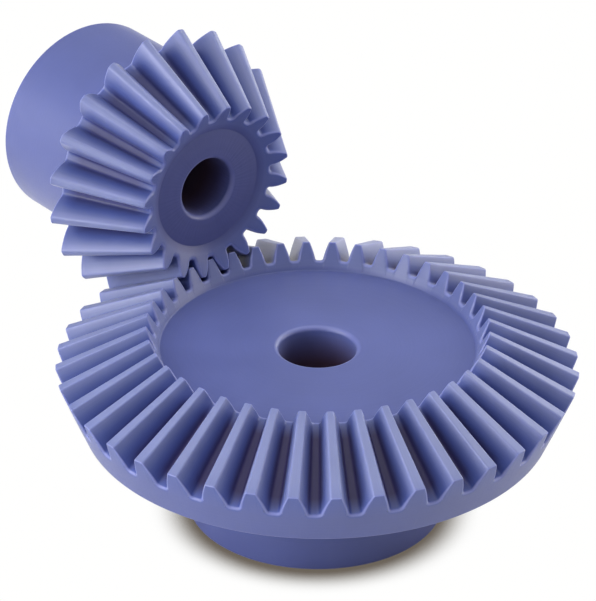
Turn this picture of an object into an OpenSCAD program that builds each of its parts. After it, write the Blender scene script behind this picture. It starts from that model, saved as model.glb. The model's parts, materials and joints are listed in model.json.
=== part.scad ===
// Straight bevel gear pair, 2:1, shafts at right angles.
// The wheel stands on its hub with its axis along +Z. The pinion lies on -X and points at the wheel's axis.
// Origin: on the wheel's axis, at the back face of its hub.

/* [Teeth] */
// Module at the large end of the teeth
tooth_module = 2.5; // [2.45:0.01:2.55]
// Number of teeth on the wheel
gear_teeth = 40; // [39:1:41]
// Number of teeth on the pinion
pinion_teeth = 20; // [19:1:21]
// Pressure angle in degrees
pressure_angle = 20; // [18:0.5:22]
// Tooth height above the pitch cone at the large end, wheel
gear_addendum = 1.45; // [1.2:0.05:1.7]
// Tooth height above the pitch cone at the large end, pinion
pinion_addendum = 3.35; // [3.1:0.05:3.5]
// Room between tooth tip and root of the mating gear, at the large end
root_clearance = 0.75; // [0.5:0.05:0.9]
// Play between the flanks at the large end
backlash = 0.2; // [0.14:0.02:0.3]
// How far the wheel is turned from the position that puts a tooth exactly under the pinion, in degrees
gear_turn = 0.3; // [-2:0.1:2]

/* [Wheel] */
// Length of the teeth along the cone
gear_face = 19.5; // [17:0.5:21]
// From the point where the axes cross to the back of the hub
gear_mount = 55.5; // [54:0.5:58]
// Length of the bore, from the front disc to the back of the hub
gear_length = 35; // [33:0.5:37]
// Diameter of the bore
gear_bore_d = 15; // [10:0.5:20]
// Diameter of the hub
gear_hub_d = 50; // [48:1:56]
// Length of the hub behind the rim
gear_hub_length = 20; // [17:0.5:22]
// Angle between the axis and the outside of the rim, in degrees
gear_rim_angle = 23; // [20:0.5:26.5]

/* [Pinion] */
// Length of the teeth along the cone
pinion_face = 20; // [17:0.5:21]
// From the point where the axes cross to the back of the hub
pinion_mount = 74; // [72:0.5:78]
// Length of the bore, from the front face to the back of the hub
pinion_length = 40; // [39:0.5:42]
// Diameter of the bore
pinion_bore_d = 12; // [8:0.5:16]
// Diameter of the hub
pinion_hub_d = 40; // [36:1:42]

/* [Thrust washers] */
// Thickness of both washers
washer_t = 0.5; // [0.4:0.1:1]
// Gap between a hub and its washer
washer_gap = 0.05; // [0.02:0.01:0.1]
// Outer diameter of the washer under the wheel
gear_washer_d = 46; // [40:1:48]
// Outer diameter of the washer behind the pinion
pinion_washer_d = 36; // [30:1:36]
// How much wider a washer's hole is than the bore
washer_hole_extra = 4; // [2:0.5:6]

/* [Hidden] */
$fn = 180;

nylon = [0.42, 0.46, 0.72];
steel = [0.70, 0.70, 0.72];

// Pitch cones. They roll on each other and share the point where the axes cross.
gear_cone = atan2(gear_teeth, pinion_teeth);
pinion_cone = 90 - gear_cone;
gear_pitch_r = tooth_module * gear_teeth / 2;
pinion_pitch_r = tooth_module * pinion_teeth / 2;
cone_distance = gear_pitch_r / sin(gear_cone);

// Tip and root cones
gear_tip = gear_cone + atan(gear_addendum / cone_distance);
gear_root = gear_cone - atan((pinion_addendum + root_clearance) / cone_distance);
pinion_tip = pinion_cone + atan(pinion_addendum / cone_distance);
pinion_root = pinion_cone - atan((gear_addendum + root_clearance) / cone_distance);

// A tall pinion tooth is made thicker, and the wheel's tooth thinner by as much
tooth_shift = (pinion_addendum - gear_addendum) * tan(pressure_angle);
even_tooth = PI * tooth_module / 2 - backlash / 2;

bore_chamfer = 0.8;
hub_chamfer = 0.5;
rim_chamfer = 0.3;
hub_corner = 1.5;
root_fillet = 0.5;

// The toothed pyramids rise this many degrees above the tips and end this far behind the hubs
cut_above = 0.4;
cut_beyond = 1;
flank_steps = 5;
fillet_steps = 3;

// How far an involute on a sphere turns about the axis between its base cone and the cone at polar angle a
function cone_involute(a, base) =
    a <= base ? 0
    : let (roll = acos(cos(a) / cos(base)))
        roll / sin(base) - atan2(tan(roll), sin(base));

// Half the angle of a tooth gap at polar angle a, given half the gap at the pitch cone
function half_gap(a, cone, base, pitch_half) =
    pitch_half - cone_involute(cone, base) + cone_involute(a, base);

// One side of a gap as [turn about the axis, polar angle]: the flank from above the tip down to the fillet,
// which starts tangent to the flank and ends at the flat middle of the root
function gap_side(cone, base, pitch_half, tip, root) =
    let (
        fillet = root_fillet / cone_distance * 180 / PI,
        low = root + fillet,
        low_half = half_gap(low, cone, base, pitch_half),
        lean = atan((half_gap(low + 1, cone, base, pitch_half) - low_half) * sin(low)),
        centre = low_half * sin(low) - fillet / cos(lean),
        flank_end = low - fillet * sin(lean),
        flank_start = tip + cut_above
    )
    concat(
        [for (i = [0 : flank_steps])
            let (a = flank_start + (flank_end - flank_start) * i / flank_steps)
            [half_gap(a, cone, base, pitch_half), a]],
        [for (i = [1 : fillet_steps])
            let (t = lean + (90 - lean) * i / fillet_steps, a = low - fillet * sin(t))
            [(centre + fillet * cos(t)) / sin(a), a]]
    );

function mirrored(side) = [for (p = side) [-p[0], p[1]]];
function backwards(side) = [for (i = [len(side) - 1 : -1 : 0]) side[i]];

// A pyramid with a star-shaped foot: its point is where the axes cross, and its folds are the tooth gaps.
// A gap's middle lies at the first turn.
module toothed_pyramid(teeth, cone, tip, root, tooth_width, first_turn, height) {
    base = asin(sin(cone) * cos(pressure_angle));
    pitch_r = tooth_module * teeth / 2;
    pitch_half = (360 / teeth - tooth_width / pitch_r * 180 / PI) / 2;
    side = gap_side(cone, base, pitch_half, tip, root);
    gap = concat(mirrored(side), backwards(side));
    rim = [
        for (i = [0 : teeth - 1], p = gap)
            let (turn = first_turn + i * 360 / teeth + p[0])
            height * [tan(p[1]) * cos(turn), tan(p[1]) * sin(turn), -1]
    ];
    n = len(rim);
    faces = concat(
        [for (i = [0 : n - 1]) [(i + 1) % n, i, n]],
        [for (i = [0 : n - 1]) [i, (i + 1) % n, n + 1]]
    );
    polyhedron(concat(rim, [[0, 0, 0], [0, 0, -height]]), faces, convexity = 10);
}

// Where the cone at polar angle a meets the line through p that leans outwards by b from the axis.
// Points are [radius, height], with height 0 where the axes cross.
function on_cone(a, p, b) =
    let (along = -(p[0] * cos(a) + p[1] * sin(a)) / sin(a + b))
    [p[0] + along * sin(b), p[1] + along * cos(b)];

// Wheel blank
gear_small = cone_distance - gear_face;
gear_small_pitch = [gear_small * sin(gear_cone), -gear_small * cos(gear_cone)];
gear_heel = on_cone(gear_tip, [gear_pitch_r, -pinion_pitch_r], gear_rim_angle);
gear_toe = on_cone(gear_tip, gear_small_pitch, pinion_cone);
gear_front_z = gear_length - gear_mount;
gear_disc_r = gear_small_pitch[0] + (gear_front_z - gear_small_pitch[1]) * tan(pinion_cone);
gear_rim_z = gear_hub_length - gear_mount;
gear_rim_r = gear_pitch_r + (gear_rim_z + pinion_pitch_r) * tan(gear_rim_angle);

// Pinion blank
pinion_small = cone_distance - pinion_face;
pinion_small_pitch = [pinion_small * sin(pinion_cone), -pinion_small * cos(pinion_cone)];
pinion_heel = on_cone(pinion_tip, [pinion_pitch_r, -gear_pitch_r], gear_cone);
pinion_toe = on_cone(pinion_tip, pinion_small_pitch, gear_cone);
pinion_front_z = pinion_length - pinion_mount;
pinion_disc_r = pinion_small_pitch[0] + (pinion_front_z - pinion_small_pitch[1]) * tan(gear_cone);
pinion_hub_z = -gear_pitch_r - (pinion_pitch_r - pinion_hub_d / 2) / tan(gear_cone);

module gear_blank() {
    hub_r = gear_hub_d / 2;
    rotate_extrude()
        polygon([
            [0, -gear_mount],
            [hub_r - hub_chamfer, -gear_mount],
            [hub_r, -gear_mount + hub_chamfer],
            [hub_r, gear_rim_z - hub_corner],
            [hub_r + hub_corner, gear_rim_z],
            [gear_rim_r - rim_chamfer, gear_rim_z],
            [gear_rim_r + rim_chamfer * tan(gear_rim_angle), gear_rim_z + rim_chamfer],
            gear_heel,
            gear_toe,
            [gear_disc_r, gear_front_z],
            [0, gear_front_z]
        ]);
}

module pinion_blank() {
    hub_r = pinion_hub_d / 2;
    rotate_extrude()
        polygon([
            [0, -pinion_mount],
            [hub_r - hub_chamfer, -pinion_mount],
            [hub_r, -pinion_mount + hub_chamfer],
            [hub_r, pinion_hub_z],
            pinion_heel,
            pinion_toe,
            [pinion_disc_r, pinion_front_z],
            [0, pinion_front_z]
        ]);
}

// Round hole from the back of the hub to the front face, with a chamfered front mouth
module bore(d, back_z, front_z) {
    translate([0, 0, back_z - 1])
        cylinder(d = d, h = front_z - back_z + 2);
    translate([0, 0, front_z - bore_chamfer])
        cylinder(d1 = d, d2 = d + 4 * bore_chamfer, h = 2 * bore_chamfer);
}

module washer(d, hole_d) {
    difference() {
        cylinder(d = d, h = washer_t);
        translate([0, 0, -1])
            cylinder(d = hole_d, h = washer_t + 2);
    }
}

// Puts a pinion piece, built like the wheel with its axis on Z, on its own axis along X
module on_pinion_axis() {
    translate([0, 0, gear_mount])
        rotate([0, 90, 0])
            children();
}

// The wheel has a tooth on the side of the pinion, so its first gap is half a pitch further on
module bevel_gear() {
    color(nylon)
        translate([0, 0, gear_mount])
            difference() {
                intersection() {
                    gear_blank();
                    toothed_pyramid(gear_teeth, gear_cone, gear_tip, gear_root,
                        even_tooth - tooth_shift, 180 + 180 / gear_teeth + gear_turn,
                        gear_mount + cut_beyond);
                }
                bore(gear_bore_d, -gear_mount, gear_front_z);
            }
}

// The pinion has a gap there
module bevel_pinion() {
    color(nylon)
        on_pinion_axis()
            difference() {
                intersection() {
                    pinion_blank();
                    toothed_pyramid(pinion_teeth, pinion_cone, pinion_tip, pinion_root,
                        even_tooth + tooth_shift, -gear_turn * gear_teeth / pinion_teeth,
                        pinion_mount + cut_beyond);
                }
                bore(pinion_bore_d, -pinion_mount, pinion_front_z);
            }
}

module gear_thrust_washer() {
    color(steel)
        translate([0, 0, -washer_gap - washer_t])
            washer(gear_washer_d, gear_bore_d + washer_hole_extra);
}

module pinion_thrust_washer() {
    color(steel)
        on_pinion_axis()
            translate([0, 0, -pinion_mount - washer_gap - washer_t])
                washer(pinion_washer_d, pinion_bore_d + washer_hole_extra);
}

bevel_gear();
bevel_pinion();
gear_thrust_washer();
pinion_thrust_washer();
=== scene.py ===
"""A straight bevel wheel and its pinion, of blue cast nylon, in mesh at right angles on a pale floor.

Metres, in the frame's axes: the wheel's axis is +Z, and the pinion lies on -X with its axis along X.
Each gear is one closed mesh, built as rings round its own axis from the point where the two axes cross.
"""

import json
from math import acos, asin, atan, atan2, cos, hypot, pi, radians, sin, tan

import bpy
import numpy as np
from mathutils import Matrix, Vector


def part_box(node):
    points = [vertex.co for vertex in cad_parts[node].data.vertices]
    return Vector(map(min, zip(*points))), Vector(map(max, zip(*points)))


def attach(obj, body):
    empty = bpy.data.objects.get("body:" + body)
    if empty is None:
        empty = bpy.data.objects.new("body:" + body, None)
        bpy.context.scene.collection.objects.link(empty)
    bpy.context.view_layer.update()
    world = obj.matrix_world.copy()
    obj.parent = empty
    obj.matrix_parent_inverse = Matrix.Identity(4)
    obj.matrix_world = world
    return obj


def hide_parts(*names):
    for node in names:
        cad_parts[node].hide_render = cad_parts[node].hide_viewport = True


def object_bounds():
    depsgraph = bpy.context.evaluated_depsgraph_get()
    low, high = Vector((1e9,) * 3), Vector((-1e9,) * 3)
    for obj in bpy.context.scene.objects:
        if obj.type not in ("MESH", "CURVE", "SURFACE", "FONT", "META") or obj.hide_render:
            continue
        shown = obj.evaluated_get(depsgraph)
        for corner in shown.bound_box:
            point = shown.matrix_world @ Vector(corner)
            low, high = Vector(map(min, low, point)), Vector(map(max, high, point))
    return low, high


MM = 0.001

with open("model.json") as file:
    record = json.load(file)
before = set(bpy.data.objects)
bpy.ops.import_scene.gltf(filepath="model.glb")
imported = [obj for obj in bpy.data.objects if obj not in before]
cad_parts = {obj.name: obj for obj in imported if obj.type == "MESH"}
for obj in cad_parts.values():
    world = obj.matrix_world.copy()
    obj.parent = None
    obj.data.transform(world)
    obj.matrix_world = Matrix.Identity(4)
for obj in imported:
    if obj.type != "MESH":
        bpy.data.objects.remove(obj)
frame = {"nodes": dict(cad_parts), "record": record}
cad_low, cad_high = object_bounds()

# ---------------------------------------------------------------- places from the frame

gear_low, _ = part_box("bevel_gear")
pinion_low, pinion_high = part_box("bevel_pinion")
bores = {m["name"]: m["dims"]["r_mm"] * MM for m in frame["record"]["mounts"] if m["kind"] == "bore"}

crossing = Vector((0, 0, (pinion_low.z + pinion_high.z) / 2))
floor_z = cad_low.z

# ---------------------------------------------------------------- camera

# Fitted to the tooth tips, rings and bores in the photo
VIEW_AZIMUTH = radians(50.27)
VIEW_ELEVATION = radians(29.15)
VIEW_ROLL = radians(0.62)
VIEW_DISTANCE = 790.4 * MM
VIEW_TARGET = Vector((-6.4, 0.3, 42.2)) * MM
LENS = 245.5
CLIP_NEAR, CLIP_FAR = 0.05, 20


def make_camera():
    back = Vector((
        sin(VIEW_AZIMUTH) * cos(VIEW_ELEVATION),
        -cos(VIEW_AZIMUTH) * cos(VIEW_ELEVATION),
        sin(VIEW_ELEVATION),
    ))
    camera = bpy.data.objects.new("camera", bpy.data.cameras.new("camera"))
    bpy.context.collection.objects.link(camera)
    camera.data.lens = LENS
    camera.data.clip_start, camera.data.clip_end = CLIP_NEAR, CLIP_FAR
    camera.location = VIEW_TARGET + back * VIEW_DISTANCE
    turn = (-back).to_track_quat("-Z", "Y").to_matrix() @ Matrix.Rotation(VIEW_ROLL, 3, "Z")
    camera.rotation_mode = "QUATERNION"
    camera.rotation_quaternion = turn.to_quaternion()
    bpy.context.scene.camera = camera


make_camera()

# ---------------------------------------------------------------- gears

MODULE = 2.5 * MM
GEAR_TEETH, PINION_TEETH = 40, 20
PRESSURE = radians(20)
GEAR_ADDENDUM, PINION_ADDENDUM = 1.45 * MM, 3.35 * MM
ROOT_CLEARANCE = 0.75 * MM
BACKLASH = 0.2 * MM
GEAR_TURN = radians(0.3)
ROOT_FILLET = 0.7 * MM

GEAR_CONE = atan2(GEAR_TEETH, PINION_TEETH)
CONE_DISTANCE = MODULE * GEAR_TEETH / 2 / sin(GEAR_CONE)
TOOTH_SHIFT = (PINION_ADDENDUM - GEAR_ADDENDUM) * tan(PRESSURE)
EVEN_TOOTH = pi * MODULE / 2 - BACKLASH / 2

# Widths of the toothed faces, lengths from back to front, hubs, and the lean of the wheel's rim
GEAR_FACE, PINION_FACE = 19.5 * MM, 20 * MM
GEAR_LENGTH, PINION_LENGTH = 35 * MM, 40 * MM
GEAR_HUB_R, PINION_HUB_R = 25 * MM, 20 * MM
GEAR_HUB_LENGTH = 20 * MM
RIM_LEAN = radians(23)

# Radii of the rounded edges and inner corners
HEEL_ROUND = 0.6 * MM
TOE_ROUND = 0.6 * MM
MOUTH_ROUND = 1.0 * MM
BACK_ROUND = 0.3 * MM
RIM_ROUND = 0.4 * MM
FACE_ROUND = 0.4 * MM
GEAR_HUB_CORNER, PINION_HUB_CORNER = 1.5 * MM, 0.8 * MM

# How much smaller the rounds at a tooth's ends are at its crest than at its root
CREST_SLIMMER = 0.6

# Painted highlight, and burnish, along a tooth's crest and on turned edges, against 1 on the ends of the
# teeth
CREST_HIGHLIGHT_AND_BURNISH, RING_HIGHLIGHT_AND_BURNISH = 0.4, 0.55

# From the root of the teeth down to where the plain part of the heel or toe face starts
FOOT_MARGIN = 1.0 * MM

# Height up a tooth, from 0 at its root to 1 at its crest, at which its painted glow starts
GLOW_FROM = 0.38

# Depth below its mouth at which a bore's painted shade is darkest
BORE_SHADE_DEPTH = 8 * MM

FLANK_STEPS, FILLET_STEPS, ROUND_STEPS, LENGTH_STEPS = 8, 5, 4, 6


class Gear:
    """One gear, with its axis along Z, its teeth's point at the origin and its hub towards -Z.

    The last three arguments set the painted glow on the toe face, and the painted shade in the gaps and on
    the front face.
    """

    def __init__(
        self, teeth, cone, addendum, mate_addendum, tooth_width, first_tooth, face,
        tip_round, toe_glow, gap_tone, face_shade_amount,
    ):
        self.teeth, self.cone, self.first_tooth = teeth, cone, first_tooth
        self.tip_round, self.toe_glow = tip_round, toe_glow
        self.gap_tone, self.face_shade_amount = gap_tone, face_shade_amount
        self.base = asin(sin(cone) * cos(PRESSURE))
        self.tip = cone + atan(addendum / CONE_DISTANCE)
        self.root = cone - atan((mate_addendum + ROOT_CLEARANCE) / CONE_DISTANCE)
        self.pitch_half = tooth_width / (MODULE * teeth)
        small = CONE_DISTANCE - face
        self.heel_point = (CONE_DISTANCE * sin(cone), -CONE_DISTANCE * cos(cone))
        self.toe_point = (small * sin(cone), -small * cos(cone))
        self.toe_lean = pi / 2 - cone

    def involute(self, polar):
        """Turn of a spherical involute between its base cone and the cone at this polar angle."""
        if polar <= self.base:
            return 0
        roll = acos(cos(polar) / cos(self.base))
        return roll / sin(self.base) - atan2(tan(roll), sin(self.base))

    def half_tooth(self, polar):
        return self.pitch_half + self.involute(self.cone) - self.involute(polar)

    def lean(self, polar, step=radians(0.2)):
        """How far the flank leans in from upright, measured in the tooth's own section."""
        thinner = self.half_tooth(polar) - self.half_tooth(polar + step)
        return atan(thinner / step * sin(polar))

    def tooth_side(self):
        """[turn, polar] from the tip land, round the tip edge, down the flank and round the root."""
        points = []
        r = self.tip_round / CONE_DISTANCE
        lean = self.lean(self.tip - r)
        flank_top = self.tip - r + r * sin(lean)
        centre = self.half_tooth(flank_top) * sin(flank_top) - r * cos(lean)
        for k in range(ROUND_STEPS):
            t = pi / 2 + (lean - pi / 2) * k / ROUND_STEPS
            polar = self.tip - r + r * sin(t)
            points.append(((centre + r * cos(t)) / sin(polar), polar))
        f = ROOT_FILLET / CONE_DISTANCE
        low = self.root + f
        lean = self.lean(low)
        centre = self.half_tooth(low) * sin(low) + f / cos(lean)
        flank_end = low - f * sin(lean)
        for k in range(FLANK_STEPS + 1):
            polar = flank_top + (flank_end - flank_top) * k / FLANK_STEPS
            points.append((self.half_tooth(polar), polar))
        for k in range(1, FILLET_STEPS + 1):
            t = lean + (pi / 2 - lean) * k / FILLET_STEPS
            polar = low - f * sin(t)
            points.append(((centre - f * cos(t)) / sin(polar), polar))
        return np.array(points)

    def outline(self):
        """Turn and polar angle of every point once round the gear."""
        right = self.tooth_side()
        left = right[::-1] * (-1, 1)
        tooth = np.concatenate((left, right))
        turns = self.first_tooth + 2 * pi * np.arange(self.teeth) / self.teeth
        turn = (turns[:, None] + tooth[None, :, 0]).ravel()
        return turn, np.tile(tooth[:, 1], self.teeth)


def on_cone(polar, point, lean):
    """Where the cone at this polar angle meets the line through point that leans out from the axis."""
    along = -(point[0] * np.cos(polar) + point[1] * np.sin(polar)) / np.sin(polar + lean)
    return point[0] + along * sin(lean), point[1] + along * cos(lean)


def ring(radius, height, turn):
    return np.stack((radius * np.cos(turn), radius * np.sin(turn), height + 0 * turn), axis=1)


def unit(v):
    return v / np.linalg.norm(v, axis=1, keepdims=True)


def rounded_edge(points, normal_a, normal_b, radius):
    """Rings that roll from one face's normal to the other's, on rounds of these radii."""
    dot = np.sum(normal_a * normal_b, axis=1, keepdims=True)
    centre = points - radius / (1 + dot) * (normal_a + normal_b)
    angle = np.arccos(np.clip(dot, -1, 1))
    rings = []
    for k in range(ROUND_STEPS + 1):
        t = k / ROUND_STEPS
        n = (np.sin((1 - t) * angle) * normal_a + np.sin(t * angle) * normal_b) / np.sin(angle)
        rings.append(centre + radius * unit(n))
    return rings


def tooth_rings(gear, heel_lean, turn, polar):
    """From the heel face, over its rounded edge, along the teeth and over the toe edge to the toe face."""
    heel = ring(*on_cone(polar, gear.heel_point, heel_lean), turn)
    toe = ring(*on_cone(polar, gear.toe_point, gear.toe_lean), turn)
    tangent = unit(np.roll(heel, -1, axis=0) - np.roll(heel, 1, axis=0))
    inwards = unit(toe - heel)
    surface = unit(np.cross(tangent, inwards))
    heel_normal = ring(cos(heel_lean), -sin(heel_lean), turn)
    toe_normal = ring(-cos(gear.toe_lean), sin(gear.toe_lean), turn)
    slimmer = 1 - CREST_SLIMMER * ((polar - gear.root) / (gear.tip - gear.root))[:, None]
    heel_edge = rounded_edge(heel, heel_normal, surface, HEEL_ROUND * slimmer)
    toe_edge = rounded_edge(toe, surface, toe_normal, TOE_ROUND * slimmer)
    between = [
        heel_edge[-1] + (toe_edge[0] - heel_edge[-1]) * k / LENGTH_STEPS
        for k in range(1, LENGTH_STEPS)
    ]
    return heel_edge + between + toe_edge


def rounded_profile(corners):
    """[radius, height, painted highlight and burnish] along a line of corners, each rounded, with painted
    highlight and burnish where it stands out.
    """
    points = [(*corners[0][:2], 0)]
    for before, here, after in zip(corners, corners[1:], corners[2:]):
        p, a, b = (np.array(c[:2]) for c in (here, before, after))
        to_a, to_b = (a - p) / np.linalg.norm(a - p), (b - p) / np.linalg.norm(b - p)
        half = acos(np.clip(to_a @ to_b, -1, 1)) / 2
        radius = here[2]
        middle = (to_a + to_b) / np.linalg.norm(to_a + to_b)
        centre = p + middle * radius / sin(half)
        # Painted highlight, with burnish, on the convex rounds
        highlight_and_burnish = RING_HIGHLIGHT_AND_BURNISH if to_a[0] * to_b[1] < to_a[1] * to_b[0] else 0
        start = p + to_a * radius / tan(half) - centre
        end = p + to_b * radius / tan(half) - centre
        for k in range(ROUND_STEPS + 1):
            t = k / ROUND_STEPS
            bend = pi - 2 * half
            point = centre + (sin((1 - t) * bend) * start + sin(t * bend) * end) / sin(bend)
            points.append((*point, highlight_and_burnish * sin(pi * t)))
    points.append((*corners[-1][:2], 0))
    return points


def closed_mesh(name, rings):
    """Joins the rings, the last one to the first, with four-sided faces."""
    rows, across = len(rings), len(rings[0])
    j, i = np.meshgrid(np.arange(rows), np.arange(across), indexing="ij")
    next_j, next_i = (j + 1) % rows, (i + 1) % across
    corners = (j * across + i, j * across + next_i, next_j * across + next_i, next_j * across + i)
    quads = np.stack(corners, axis=-1)
    mesh = bpy.data.meshes.new(name)
    mesh.from_pydata(np.concatenate(rings).tolist(), [], quads.reshape(-1, 4).tolist())
    mesh.shade_smooth()
    piece = bpy.data.objects.new(name, mesh)
    bpy.context.collection.objects.link(piece)
    even = piece.modifiers.new("even_shading", "WEIGHTED_NORMAL")
    even.keep_sharp = False
    return piece


def smooth(value, low, high):
    t = np.clip((value - low) / (high - low), 0, 1)
    return t * t * (3 - 2 * t)


def tooth_painted_light(gear, polar):
    """Point values on the tooth rings: painted highlight and burnish on the edges, painted glow towards
    the crest, and painted shade deep in the gap.
    """
    height = (polar - gear.root) / (gear.tip - gear.root)
    r = gear.tip_round / CONE_DISTANCE / (gear.tip - gear.root)
    crest = smooth(height, 1 - 1.6 * r, 1 - 0.9 * r) * (1 - smooth(height, 1 - 0.3 * r, 1))
    half_round = np.sin(pi * np.arange(ROUND_STEPS + 1) / ROUND_STEPS)
    edge_rows = len(half_round)
    rows = 2 * edge_rows + LENGTH_STEPS - 1
    ramp = np.arange(edge_rows) / edge_rows
    on_edge = np.concatenate((ramp, np.ones(LENGTH_STEPS - 1), ramp[::-1]))
    # Painted highlight, with burnish, on the crest and the rounded ends
    highlight_and_burnish = CREST_HIGHLIGHT_AND_BURNISH * crest[None, :] * on_edge[:, None]
    highlight_and_burnish[:edge_rows] = np.maximum(highlight_and_burnish[:edge_rows], half_round[:, None])
    highlight_and_burnish[-edge_rows:] = np.maximum(highlight_and_burnish[-edge_rows:], half_round[:, None])
    inside = np.zeros(rows)
    inside[edge_rows:-edge_rows] = 1
    # Painted glow: lighter towards the crest, and on the toe face
    painted_glow = smooth(height, GLOW_FROM, 1)[None, :] * on_edge[:, None]
    painted_glow[-edge_rows:] = np.maximum(painted_glow[-edge_rows:], gear.toe_glow * (1 - ramp[::-1])[:, None])
    # Painted shade, darkest at the roots of the gaps
    gap = gear.gap_tone * smooth(-height, -0.5, 0)[None, :] * inside[:, None]
    return highlight_and_burnish, painted_glow, gap


def build_gear(name, gear, heel_lean, back, front):
    """back and front are corners of [radius, height, rounding], from the bore out and the toe in."""
    turn, polar = gear.outline()
    heel_foot = on_cone(gear.root - FOOT_MARGIN / CONE_DISTANCE, gear.heel_point, heel_lean)
    toe_foot = on_cone(gear.root - FOOT_MARGIN / hypot(*gear.toe_point), gear.toe_point, gear.toe_lean)
    behind = rounded_profile([*back, (*heel_foot, 0)])
    before = rounded_profile([(*toe_foot, 0), *front])
    teeth = tooth_rings(gear, heel_lean, turn, polar)
    rings = [ring(*p[:2], turn) for p in behind] + teeth + [ring(*p[:2], turn) for p in before]
    piece = closed_mesh(name, rings)
    first, last = len(behind), len(behind) + len(teeth)
    highlight_and_burnish, painted_glow, gap, cut, bore_shade = np.zeros((5, len(rings), len(turn)), dtype=np.float32)
    highlight_and_burnish[first:last], painted_glow[first:last], gap[first:last] = tooth_painted_light(gear, polar)
    # Painted highlight, with burnish, on the convex turned edges
    highlight_and_burnish[:first] = np.array([p[2] for p in behind])[:, None]
    highlight_and_burnish[last:] = np.array([p[2] for p in before])[:, None]
    # Painted glow on the toe face
    painted_glow[last] = gear.toe_glow
    # Painted shade on the front face
    gap[last + 1:] = gear.face_shade_amount
    cut[first:last] = 1
    # Painted shade, darkest deep in the bores
    bore_shade[0] = bore_shade[-1] = 1
    marks = {"highlight_and_burnish": highlight_and_burnish, "painted_glow": painted_glow, "gap": gap, "cut_teeth": cut, "bore_shade": bore_shade}
    for label, values in marks.items():
        piece.data.attributes.new(label, "FLOAT", "POINT").data.foreach_set("value", values.ravel())
    return piece


def build_wheel():
    gear = Gear(
        GEAR_TEETH, GEAR_CONE, GEAR_ADDENDUM, PINION_ADDENDUM, EVEN_TOOTH - TOOTH_SHIFT,
        pi + GEAR_TURN, GEAR_FACE,
        tip_round=0.42 * MM, toe_glow=0.5, gap_tone=1, face_shade_amount=0,
    )
    bore_r = bores["gear_bore"]
    back_z = gear_low.z - crossing.z
    rim_z = back_z + GEAR_HUB_LENGTH
    disc_z = back_z + GEAR_LENGTH
    rim_r = gear.heel_point[0] + (rim_z - gear.heel_point[1]) * tan(RIM_LEAN)
    disc_r = gear.toe_point[0] + (disc_z - gear.toe_point[1]) * tan(gear.toe_lean)
    middle_z = (back_z + disc_z) / 2
    back = [
        (bore_r, middle_z, 0),
        (bore_r, back_z, BACK_ROUND),
        (GEAR_HUB_R, back_z, BACK_ROUND),
        (GEAR_HUB_R, rim_z, GEAR_HUB_CORNER),
        (rim_r, rim_z, RIM_ROUND),
    ]
    front = [
        (disc_r, disc_z, FACE_ROUND),
        (bore_r, disc_z, MOUTH_ROUND),
        (bore_r, disc_z - BORE_SHADE_DEPTH, 0),
    ]
    piece = build_gear("bevel_wheel", gear, RIM_LEAN, back, front)
    piece.data.transform(Matrix.Translation(crossing))
    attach(piece, "wheel")
    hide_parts("bevel_gear")
    return piece


def build_pinion():
    cone = pi / 2 - GEAR_CONE
    gear = Gear(
        PINION_TEETH, cone, PINION_ADDENDUM, GEAR_ADDENDUM, EVEN_TOOTH + TOOTH_SHIFT,
        pi / PINION_TEETH - GEAR_TURN * GEAR_TEETH / PINION_TEETH, PINION_FACE,
        tip_round=0.75 * MM, toe_glow=0.12, gap_tone=0.65, face_shade_amount=0.35,
    )
    bore_r = bores["pinion_bore"]
    back_z = pinion_low.x
    face_z = back_z + PINION_LENGTH
    hub_z = gear.heel_point[1] - (gear.heel_point[0] - PINION_HUB_R) / tan(GEAR_CONE)
    face_r = gear.toe_point[0] + (face_z - gear.toe_point[1]) * tan(GEAR_CONE)
    middle_z = (back_z + face_z) / 2
    back = [
        (bore_r, middle_z, 0),
        (bore_r, back_z, BACK_ROUND),
        (PINION_HUB_R, back_z, BACK_ROUND),
        (PINION_HUB_R, hub_z, PINION_HUB_CORNER),
    ]
    front = [
        (face_r, face_z, FACE_ROUND),
        (bore_r, face_z, MOUTH_ROUND),
        (bore_r, face_z - BORE_SHADE_DEPTH, 0),
    ]
    piece = build_gear("bevel_pinion_gear", gear, GEAR_CONE, back, front)
    piece.data.transform(Matrix.Translation(crossing) @ Matrix.Rotation(pi / 2, 4, "Y"))
    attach(piece, "pinion")
    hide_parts("bevel_pinion")
    return piece


wheel = build_wheel()
pinion = build_pinion()

# ---------------------------------------------------------------- materials

BODY_BLUE = (0.074, 0.094, 0.275)
FLANK_BLUE = (0.062, 0.090, 0.300)
# Painted glow: the lighter blue of thin teeth, standing in for light through the nylon
GLOW_BLUE = (0.162, 0.190, 0.380)
# Painted shade in the gaps between the teeth and on the pinion's front face
GAP_SHADE_BLUE = (0.046, 0.038, 0.125)
# Painted highlight on rounded edges
EDGE_HIGHLIGHT_BLUE = (0.260, 0.280, 0.560)
# Painted shade deep in the bores
BORE_SHADE_BLUE = (0.055, 0.028, 0.055)
SHEEN_BLUE = (0.75, 0.78, 1.0)

STEEL, STAINED = (0.40, 0.40, 0.41), (0.34, 0.33, 0.315)

# Roughness where an edge is rubbed smooth
BURNISHED = 0.32

# How much a rounded edge takes of its painted highlight colour
EDGE_HIGHLIGHT_SHARE = 0.55

# Noise scales per metre, and for PLANED per radian of the direction from the crossing of the axes
CLOUD, TURNED_WAVES, TURNED_RINGS, GRAIN = 55, 420, 2600, 3800
STAIN, SCRATCHES, GROUND_RINGS = 90, 420, 2400
PLANED = 210

# Where nearly all of a noise's values lie
NOISE_SPAN = (0.3, 0.7)


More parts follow.
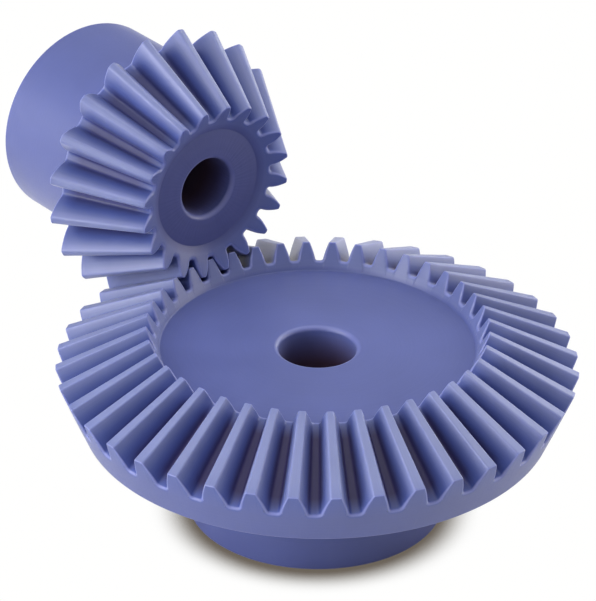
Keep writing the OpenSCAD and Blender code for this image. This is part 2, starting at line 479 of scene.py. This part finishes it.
class Graph:
    """Short calls for the nodes of one material, with a principled shader at its end."""

    def __init__(self, name):
        self.material = bpy.data.materials.new(name)
        self.material.use_nodes = True
        self.nodes, self.links = self.material.node_tree.nodes, self.material.node_tree.links
        self.nodes.clear()
        self.shader = self.nodes.new("ShaderNodeBsdfPrincipled")
        self.output = self.nodes.new("ShaderNodeOutputMaterial")
        self.links.new(self.shader.outputs[0], self.output.inputs[0])

    def put(self, socket, value):
        if isinstance(value, bpy.types.NodeSocket):
            self.links.new(value, socket)
        elif isinstance(value, (tuple, Vector)) and len(socket.default_value) > len(value):
            socket.default_value = (*value, 1)
        else:
            socket.default_value = value

    def set(self, **values):
        """Values for the shader's sockets, with underscores for the spaces in their names."""
        for name, value in values.items():
            self.put(self.shader.inputs[name.replace("_", " ")], value)

    def math(self, kind, a, b):
        node = self.nodes.new("ShaderNodeMath")
        node.operation = kind
        for socket, value in zip(node.inputs, (a, b)):
            self.put(socket, value)
        return node.outputs[0]

    def vector(self, kind, a, b=None, out="Vector"):
        node = self.nodes.new("ShaderNodeVectorMath")
        node.operation = kind
        self.put(node.inputs[0], a)
        if b is not None:
            self.put(node.inputs[1], b)
        return node.outputs[out]

    def combine(self, x, y, z):
        node = self.nodes.new("ShaderNodeCombineXYZ")
        for socket, value in zip(node.inputs, (x, y, z)):
            self.put(socket, value)
        return node.outputs[0]

    def noise(self, place, scale, detail=2.0, roughness=0.5):
        node = self.nodes.new("ShaderNodeTexNoise")
        entries = {"Vector": place, "Scale": scale, "Detail": detail, "Roughness": roughness}
        for name, value in entries.items():
            self.put(node.inputs[name], value)
        return node.outputs["Fac"]

    def between(self, value, low, high, new_low=0.0, new_high=1.0, smooth=False):
        node = self.nodes.new("ShaderNodeMapRange")
        node.interpolation_type = "SMOOTHSTEP" if smooth else "LINEAR"
        for socket, entry in zip(node.inputs, (value, low, high, new_low, new_high)):
            self.put(socket, entry)
        return node.outputs[0]

    def mix(self, amount, a, b, kind="MIX"):
        node = self.nodes.new("ShaderNodeMix")
        node.data_type, node.blend_type = "RGBA", kind
        for socket, value in zip((node.inputs[0], node.inputs[6], node.inputs[7]), (amount, a, b)):
            self.put(socket, value)
        return node.outputs[2]

    def mix_number(self, amount, a, b):
        node = self.nodes.new("ShaderNodeMix")
        for socket, value in zip((node.inputs[0], node.inputs[2], node.inputs[3]), (amount, a, b)):
            self.put(socket, value)
        return node.outputs[0]

    def place(self):
        return self.nodes.new("ShaderNodeTexCoord").outputs["Object"]

    def attribute(self, name):
        node = self.nodes.new("ShaderNodeAttribute")
        node.attribute_name = name
        return node.outputs["Fac"]

    def bump(self, height, distance, strength=1.0, normal=None):
        node = self.nodes.new("ShaderNodeBump")
        for name, value in (("Strength", strength), ("Distance", distance), ("Height", height)):
            self.put(node.inputs[name], value)
        if normal is not None:
            self.put(node.inputs["Normal"], normal)
        return node.outputs[0]


def round_the_axis(g, axis):
    """A point's place from the crossing of the axes, its distance from the axis, its place along
    the axis, and its direction from the crossing."""
    place = g.vector("SUBTRACT", g.place(), crossing)
    along = g.vector("DOT_PRODUCT", place, axis, out="Value")
    radius = g.vector("LENGTH", g.vector("CROSS_PRODUCT", place, axis), out="Value")
    return place, radius, along, g.vector("NORMALIZE", place)


def nylon(name, axis):
    """Cast nylon: turned on its plain faces and planed along its teeth, with painted glow towards the
    crests and on the toe faces, painted shade in the gaps, the bores and the pinion's front face, and
    painted highlights on rounded edges.
    """
    g = Graph(name)
    place, radius, along, direction = round_the_axis(g, axis)
    cut = g.attribute("cut_teeth")

    turned_place = g.combine(radius, along, 0.0)
    turned = g.noise(turned_place, TURNED_RINGS, 3.0, 0.6)
    waves = g.noise(turned_place, TURNED_WAVES, 2.0)
    planed = g.noise(direction, PLANED, 3.0, 0.6)
    marks = g.mix_number(cut, turned, planed)
    grain = g.noise(place, GRAIN, 2.0)
    cloud = g.noise(place, CLOUD, 3.0, 0.55)

    edge = g.attribute("highlight_and_burnish")
    # Painted glow towards the crests and on the toe faces
    colour = g.mix(g.attribute("painted_glow"), g.mix(cut, BODY_BLUE, FLANK_BLUE), GLOW_BLUE)
    gap = g.attribute("gap")
    # Painted shade in the gaps and on the pinion's front face
    colour = g.mix(gap, colour, GAP_SHADE_BLUE)
    # Painted shade deep in the bores
    colour = g.mix(g.attribute("bore_shade"), colour, BORE_SHADE_BLUE)
    # Painted highlight on rounded edges
    colour = g.mix(g.math("MULTIPLY", edge, EDGE_HIGHLIGHT_SHARE), colour, EDGE_HIGHLIGHT_BLUE)
    cloudy, marked = g.between(cloud, *NOISE_SPAN, 0.93, 1.07), g.between(marks, *NOISE_SPAN, -0.03, 0.03)
    tone = g.math("ADD", cloudy, marked)
    colour = g.mix(1.0, colour, g.combine(tone, tone, tone), "MULTIPLY")

    satin, grainy = g.between(cloud, *NOISE_SPAN, 0.35, 0.43), g.between(grain, *NOISE_SPAN, -0.04, 0.04)
    rough = g.math("ADD", satin, grainy)
    rough = g.mix_number(edge, rough, BURNISHED)

    relief = g.bump(marks, 0.012 * MM, 0.8)
    relief = g.bump(waves, 0.02 * MM, 0.5, relief)
    relief = g.bump(grain, 0.006 * MM, 0.6, relief)
    g.set(
        Base_Color=colour, Roughness=rough, Normal=relief, IOR=1.53,
        Specular_IOR_Level=g.mix_number(gap, 0.42, 0.22),
        Subsurface_Weight=0.35, Subsurface_Radius=(0.5, 0.6, 1.0), Subsurface_Scale=1.4 * MM,
        Sheen_Weight=g.mix_number(gap, 0.12, 0.03), Sheen_Roughness=0.5, Sheen_Tint=SHEEN_BLUE,
    )
    return g.material


def steel(name, axis):
    """Ground steel, with fine rings round its axis, scratches and a faint stain."""
    g = Graph(name)
    place, radius, along, _ = round_the_axis(g, axis)
    rings = g.noise(g.combine(radius, along, 0.0), GROUND_RINGS, 3.0, 0.65)
    scratches = g.noise(g.vector("MULTIPLY", place, Vector((1, 6, 6))), SCRATCHES, 3.0, 0.7)
    stain = g.noise(place, STAIN, 3.0, 0.5)
    colour = g.mix(g.between(stain, 0.4, 0.7, smooth=True), STEEL, STAINED)
    tone = g.between(rings, *NOISE_SPAN, 0.86, 1.08)
    colour = g.mix(1.0, colour, g.combine(tone, tone, tone), "MULTIPLY")
    ground = g.between(rings, *NOISE_SPAN, 0.24, 0.38)
    rough = g.math("ADD", ground, g.between(scratches, 0.45, 0.75, 0.0, 0.1))
    g.set(
        Base_Color=colour, Metallic=1.0, Roughness=rough, Anisotropic=0.4,
        Normal=g.bump(rings, 0.01 * MM, 0.8, g.bump(scratches, 0.003 * MM, 0.5)),
    )
    return g.material


UP, ALONG = Vector((0, 0, 1)), Vector((1, 0, 0))
wheel.data.materials.append(nylon("wheel_nylon", UP))
pinion.data.materials.append(nylon("pinion_blue_nylon", ALONG))
for node, axis in (("gear_thrust_washer", UP), ("pinion_thrust_washer", ALONG)):
    frame["nodes"][node].material_slots[0].material = steel(f"{node}_steel", axis)

# ---------------------------------------------------------------- floor and light

FLOOR_HALF = 3.0
# The floor's glow seen by the camera, its lit colour, and its painted shade close to the hub
FLOOR_SEEN, FLOOR_WHITE, FLOOR_NEAR_SHADE = (1.0, 1.0, 0.995), (0.80, 0.79, 0.77), (0.28, 0.21, 0.16)

# The painted contact shadow where the hub stands: its colour, its reach and the openness at which it
# starts and ends
CONTACT_SHADE = (0.150, 0.128, 0.104)
CONTACT_REACH = 9 * MM
CONTACT_CLOSED, CONTACT_OPEN = 0.52, 0.98
CONTACT_SAMPLES = 24

LAMP_SIZE, LAMP_DISTANCE = 0.8, 1.4

# Name, degrees round from the camera's side and up from the floor, watts, and any tint
LAMPS = (
    ("left_low", -60, 12, 12.3),
    ("left_front", -45, 38, 4.4),
    ("far_left_low", -90, 12, 4.0),
    ("far_left", -90, 38, 2.4),
    ("left_high", -120, 65, 1.5),
    ("overhead", 0, 88, 1.4),
    ("right_high", 120, 65, 1.8),
    ("right_behind", 135, 38, 4.4),
    ("right_low", 100, 12, 7.4, (1.0, 0.93, 0.82)),
    ("behind_low", 140, 12, 4.5),
)

# The sky's strength straight above, and how fast it fades towards the ground
SKY, SKY_FADE = 0.98, 3.0


def make_floor():
    """A white table that glows for the camera and hides all real shadow, with a painted warm contact
    shadow where the hub stands on it; its lit colour is painted darker and warmer close to the hub.
    """
    mesh = bpy.data.meshes.new("floor")
    signs = ((-1, -1), (1, -1), (1, 1), (-1, 1))
    corners = [(x * FLOOR_HALF, y * FLOOR_HALF, floor_z) for x, y in signs]
    mesh.from_pydata(corners, [], [(0, 1, 2, 3)])
    floor = bpy.data.objects.new("floor", mesh)
    bpy.context.collection.objects.link(floor)
    g = Graph("pale_floor_painted_shadow")
    near = g.nodes.new("ShaderNodeAmbientOcclusion")
    near.samples = CONTACT_SAMPLES
    near.inputs["Distance"].default_value = CONTACT_REACH
    open_sky = g.between(near.outputs["AO"], CONTACT_CLOSED, CONTACT_OPEN, smooth=True)
    # Seen by the camera: glowing white with a painted contact shadow round the hub
    shown = g.nodes.new("ShaderNodeEmission")
    g.put(shown.inputs["Color"], g.mix(open_sky, CONTACT_SHADE, FLOOR_SEEN))
    # Painted shade: the lit floor darker and warmer close to the hub
    g.set(Base_Color=g.mix(open_sky, FLOOR_NEAR_SHADE, FLOOR_WHITE), Roughness=0.9)
    seen = g.nodes.new("ShaderNodeMixShader")
    g.links.new(g.nodes.new("ShaderNodeLightPath").outputs["Is Camera Ray"], seen.inputs[0])
    g.links.new(g.shader.outputs[0], seen.inputs[1])
    g.links.new(shown.outputs[0], seen.inputs[2])
    g.links.new(seen.outputs[0], g.output.inputs[0])
    mesh.materials.append(g.material)


def towards(azimuth, elevation):
    """A direction from the object, its azimuth counted from the camera's side round to the right."""
    turn = VIEW_AZIMUTH + azimuth
    return Vector((sin(turn) * cos(elevation), -cos(turn) * cos(elevation), sin(elevation)))


def soft_box(name, azimuth, elevation, power, colour=(1, 1, 1)):
    light = bpy.data.lights.new(name, "AREA")
    light.shape = "DISK"
    light.size, light.energy, light.color = LAMP_SIZE, power, colour
    lamp = bpy.data.objects.new(name, light)
    lamp.location = crossing + towards(radians(azimuth), radians(elevation)) * LAMP_DISTANCE
    lamp.rotation_mode = "QUATERNION"
    lamp.rotation_quaternion = (crossing - lamp.location).to_track_quat("-Z", "Y")
    bpy.context.collection.objects.link(lamp)


def make_world():
    """White where the camera looks at it; on the object bright from above and fading out below."""
    world = bpy.data.worlds.new("studio")
    bpy.context.scene.world = world
    world.use_nodes = True
    nodes, links = world.node_tree.nodes, world.node_tree.links

    def math(kind, value, *others):
        node = nodes.new("ShaderNodeMath")
        node.operation = kind
        links.new(value, node.inputs[0])
        for socket, other in zip(node.inputs[1:], others):
            socket.default_value = other
        return node.outputs[0]

    place = nodes.new("ShaderNodeSeparateXYZ")
    links.new(nodes.new("ShaderNodeTexCoord").outputs["Generated"], place.inputs[0])
    height = math("MULTIPLY_ADD", place.outputs["Z"], 0.5, 0.5)
    sky = math("MULTIPLY", math("POWER", height, SKY_FADE), SKY)
    seen = nodes.new("ShaderNodeMix")
    links.new(nodes.new("ShaderNodeLightPath").outputs["Is Camera Ray"], seen.inputs[0])
    links.new(sky, seen.inputs[2])
    seen.inputs[3].default_value = 1
    links.new(seen.outputs[0], nodes["Background"].inputs["Strength"])
    nodes["Background"].inputs["Color"].default_value = (1, 1, 1, 1)


make_floor()
make_world()
for name, azimuth, elevation, power, *tint in LAMPS:
    soft_box(name, azimuth, elevation, power, *tint)
bpy.context.scene.view_settings.view_transform = "Standard"
